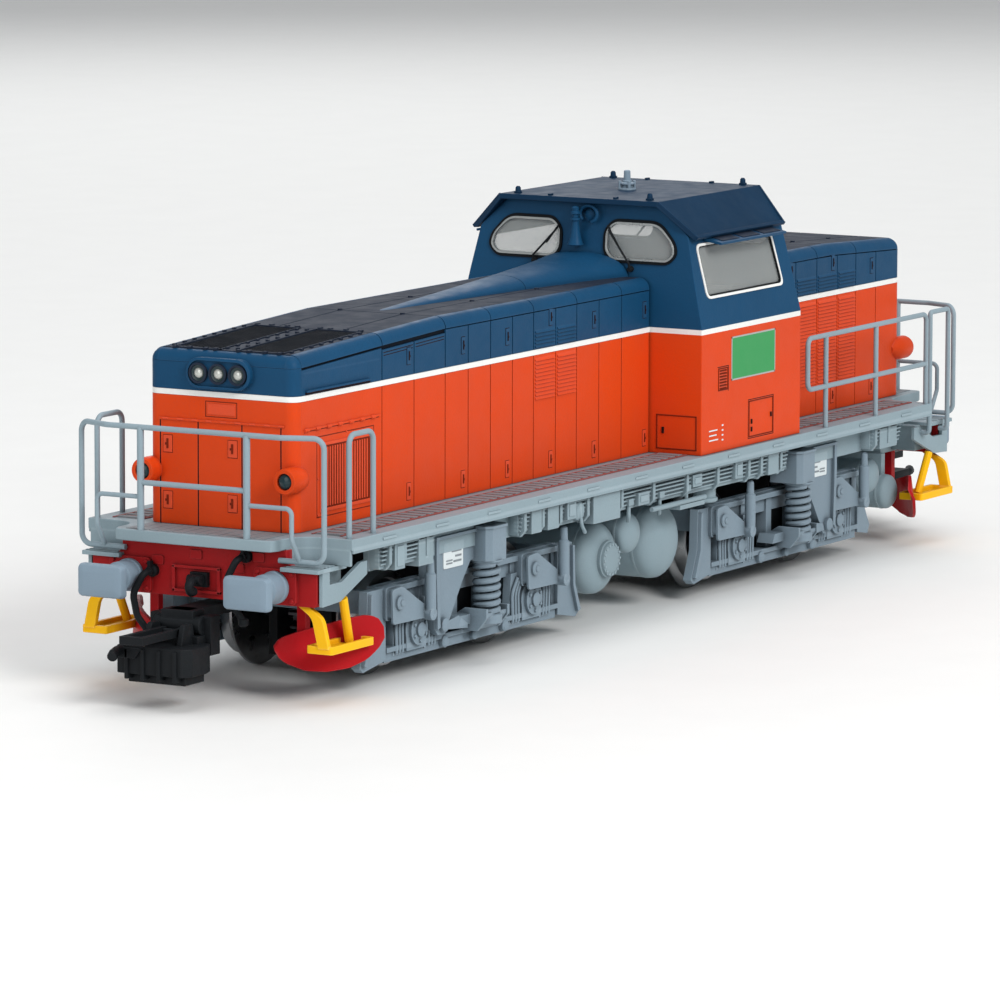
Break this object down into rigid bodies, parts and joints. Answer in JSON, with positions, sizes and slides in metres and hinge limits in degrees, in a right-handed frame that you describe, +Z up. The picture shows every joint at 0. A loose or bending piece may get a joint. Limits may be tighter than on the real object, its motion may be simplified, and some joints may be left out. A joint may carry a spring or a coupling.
{
  "type": "model diesel locomotive",
  "caption": "Four-axle hood locomotive in H0 scale with offset cab, driven bogies, end railings, side buffers and loop couplers, running on 16.5 mm track.",
  "frame": {"origin": "on the plane of the wheel flange bottoms, below the middle of the length over couplers", "axes": "+X along the track towards the long-hood end, +Y to the left side, +Z up"},
  "size_m": [0.194, 0.0366, 0.0541],
  "materials": {
    "chassis_grey": "satin light blue-grey paint",
    "bogie_grey": "satin light blue-grey moulding",
    "beam_red": "satin red paint",
    "step_yellow": "satin yellow moulding",
    "black_plastic": "matt black moulding",
    "screw_steel": "dark plated",
    "body_orange": "satin orange-red with dark blue upper band and white line",
    "roof_blue": "satin dark blue",
    "clear_plastic": "clear",
    "trim_white": "satin white",
    "antenna_grey": "satin blue-grey",
    "interior_grey": "matt grey",
    "railing_wire": "satin light blue-grey paint",
    "motor_steel": "plated",
    "shaft_steel": "ground",
    "flywheel_brass": "turned",
    "board_green": "solder mask",
    "worm_brass": "turned",
    "gear_plastic": "moulded acetal",
    "wheel_steel": "plated tread, dark centre"
  },
  "bodies": {
    "chassis": {"main_frame": "chassis_grey", "buffer_beams": "beam_red", "buffers": "chassis_grey", "draw_hooks": "black_plastic", "brake_hoses": "black_plastic", "corner_steps": "chassis_grey", "shunter_steps": "step_yellow", "snow_ploughs": "beam_red", "air_tanks": "chassis_grey", "equipment_boxes": "chassis_grey", "fixing_screws": "screw_steel", "long_hood": "body_orange", "short_hood": "body_orange", "roof_duct": "roof_blue", "cab_body": "body_orange", "cab_roof": "roof_blue", "cab_windows": "clear_plastic", "window_frames": "trim_white", "sun_visors": "roof_blue", "wipers": "roof_blue", "horn": "roof_blue", "roof_antenna": "antenna_grey", "cab_interior": "interior_grey", "headlamp_housings": "roof_blue", "marker_lamps": "body_orange", "lamp_lenses": "clear_plastic", "end_railings": "railing_wire", "side_railings": "railing_wire", "step_handrails": "railing_wire", "motor": "motor_steel", "circuit_board": "board_green"},
    "rotor": {"motor_shaft": "shaft_steel", "flywheels": "flywheel_brass"},
    "bogie_front": {"bogie_frame_front": "bogie_grey", "gearbox_front": "black_plastic"},
    "cardan_shaft_front": {"cardan_front": "shaft_steel"},
    "worm_shaft_front": {"worm_front": "worm_brass"},
    "reduction_wheel_front": {"worm_wheel_front": "gear_plastic"},
    "idler_front_outer": {"idler_gear_front_outer": "gear_plastic"},
    "wheelset_front_outer": {"axle_front_outer": "shaft_steel", "wheels_front_outer": "wheel_steel"},
    "idler_front_inner": {"idler_gear_front_inner": "gear_plastic"},
    "wheelset_front_inner": {"axle_front_inner": "shaft_steel", "wheels_front_inner": "wheel_steel"},
    "drawbar_front": {"coupler_front": "black_plastic"},
    "loop_front": {"coupler_loop_front": "black_plastic"},
    "bogie_rear": {"bogie_frame_rear": "bogie_grey", "gearbox_rear": "black_plastic"},
    "cardan_shaft_rear": {"cardan_rear": "shaft_steel"},
    "worm_shaft_rear": {"worm_rear": "worm_brass"},
    "reduction_wheel_rear": {"worm_wheel_rear": "gear_plastic"},
    "idler_rear_outer": {"idler_gear_rear_outer": "gear_plastic"},
    "wheelset_rear_outer": {"axle_rear_outer": "shaft_steel", "wheels_rear_outer": "wheel_steel"},
    "idler_rear_inner": {"idler_gear_rear_inner": "gear_plastic"},
    "wheelset_rear_inner": {"axle_rear_inner": "shaft_steel", "wheels_rear_inner": "wheel_steel"},
    "drawbar_rear": {"coupler_rear": "black_plastic"},
    "loop_rear": {"coupler_loop_rear": "black_plastic"}
  },
  "joints": [
    {"name": "motor_spin", "type": "hinge", "parent": "chassis", "child": "rotor", "pos_m": [0.0024, 0, 0.025], "axis": [1, 0, 0], "continuous": true},
    {"name": "bogie_front_swivel", "type": "hinge", "parent": "chassis", "child": "bogie_front", "pos_m": [0.0429, 0, 0.0185], "axis": [0, 0, 1], "range_deg": [-6, 6]},
    {"name": "cardan_front_spin", "type": "hinge", "parent": "chassis", "child": "cardan_shaft_front", "pos_m": [0.0278, 0, 0.025], "axis": [1, 0, 0], "continuous": true},
    {"name": "worm_front_spin", "type": "hinge", "parent": "bogie_front", "child": "worm_shaft_front", "pos_m": [0.0429, 0, 0.025], "axis": [1, 0, 0], "continuous": true},
    {"name": "worm_wheel_front_spin", "type": "hinge", "parent": "bogie_front", "child": "reduction_wheel_front", "pos_m": [0.0429, 0, 0.0175], "axis": [0, 1, 0], "continuous": true},
    {"name": "idler_front_outer_spin", "type": "hinge", "parent": "bogie_front", "child": "idler_front_outer", "pos_m": [0.05114, 0, 0.01277], "axis": [0, 1, 0], "continuous": true},
    {"name": "wheelset_front_outer_spin", "type": "hinge", "parent": "bogie_front", "child": "wheelset_front_outer", "pos_m": [0.0567, 0, 0.00702], "axis": [0, 1, 0], "continuous": true},
    {"name": "idler_front_inner_spin", "type": "hinge", "parent": "bogie_front", "child": "idler_front_inner", "pos_m": [0.03466, 0, 0.01277], "axis": [0, 1, 0], "continuous": true},
    {"name": "wheelset_front_inner_spin", "type": "hinge", "parent": "bogie_front", "child": "wheelset_front_inner", "pos_m": [0.0291, 0, 0.00702], "axis": [0, 1, 0], "continuous": true},
    {"name": "coupler_front_swing", "type": "hinge", "parent": "chassis", "child": "drawbar_front", "pos_m": [0.074, 0, 0.0106], "axis": [0, 0, 1], "range_deg": [-12, 12], "stiffness_Nm_per_rad": 0.002},
    {"name": "coupler_loop_front_lift", "type": "hinge", "parent": "drawbar_front", "child": "loop_front", "pos_m": [0.0886, 0, 0.0089], "axis": [0, -1, 0], "range_deg": [0, 20]},
    {"name": "bogie_rear_swivel", "type": "hinge", "parent": "chassis", "child": "bogie_rear", "pos_m": [-0.0381, 0, 0.0185], "axis": [0, 0, 1], "range_deg": [-6, 6]},
    {"name": "cardan_rear_spin", "type": "hinge", "parent": "chassis", "child": "cardan_shaft_rear", "pos_m": [-0.023, 0, 0.025], "axis": [1, 0, 0], "continuous": true},
    {"name": "worm_rear_spin", "type": "hinge", "parent": "bogie_rear", "child": "worm_shaft_rear", "pos_m": [-0.0381, 0, 0.025], "axis": [1, 0, 0], "continuous": true},
    {"name": "worm_wheel_rear_spin", "type": "hinge", "parent": "bogie_rear", "child": "reduction_wheel_rear", "pos_m": [-0.0381, 0, 0.0175], "axis": [0, 1, 0], "continuous": true},
    {"name": "idler_rear_outer_spin", "type": "hinge", "parent": "bogie_rear", "child": "idler_rear_outer", "pos_m": [-0.04634, 0, 0.01277], "axis": [0, 1, 0], "continuous": true},
    {"name": "wheelset_rear_outer_spin", "type": "hinge", "parent": "bogie_rear", "child": "wheelset_rear_outer", "pos_m": [-0.0519, 0, 0.00702], "axis": [0, 1, 0], "continuous": true},
    {"name": "idler_rear_inner_spin", "type": "hinge", "parent": "bogie_rear", "child": "idler_rear_inner", "pos_m": [-0.02986, 0, 0.01277], "axis": [0, 1, 0], "continuous": true},
    {"name": "wheelset_rear_inner_spin", "type": "hinge", "parent": "bogie_rear", "child": "wheelset_rear_inner", "pos_m": [-0.0243, 0, 0.00702], "axis": [0, 1, 0], "continuous": true},
    {"name": "coupler_rear_swing", "type": "hinge", "parent": "chassis", "child": "drawbar_rear", "pos_m": [-0.074, 0, 0.0106], "axis": [0, 0, 1], "range_deg": [-12, 12], "stiffness_Nm_per_rad": 0.002},
    {"name": "coupler_loop_rear_lift", "type": "hinge", "parent": "drawbar_rear", "child": "loop_rear", "pos_m": [-0.0886, 0, 0.0089], "axis": [0, 1, 0], "range_deg": [0, 20]}
  ],
  "couplings": [
    {"joint": "cardan_front_spin", "follows": "motor_spin", "ratio": 1},
    {"joint": "worm_front_spin", "follows": "motor_spin", "ratio": 1},
    {"joint": "worm_wheel_front_spin", "follows": "motor_spin", "ratio": -0.05},
    {"joint": "idler_front_outer_spin", "follows": "motor_spin", "ratio": 0.055556},
    {"joint": "wheelset_front_outer_spin", "follows": "motor_spin", "ratio": -0.071429},
    {"joint": "idler_front_inner_spin", "follows": "motor_spin", "ratio": 0.055556},
    {"joint": "wheelset_front_inner_spin", "follows": "motor_spin", "ratio": -0.071429},
    {"joint": "cardan_rear_spin", "follows": "motor_spin", "ratio": 1},
    {"joint": "worm_rear_spin", "follows": "motor_spin", "ratio": 1},
    {"joint": "worm_wheel_rear_spin", "follows": "motor_spin", "ratio": -0.05},
    {"joint": "idler_rear_outer_spin", "follows": "motor_spin", "ratio": 0.055556},
    {"joint": "wheelset_rear_outer_spin", "follows": "motor_spin", "ratio": -0.071429},
    {"joint": "idler_rear_inner_spin", "follows": "motor_spin", "ratio": 0.055556},
    {"joint": "wheelset_rear_inner_spin", "follows": "motor_spin", "ratio": -0.071429}
  ]
}
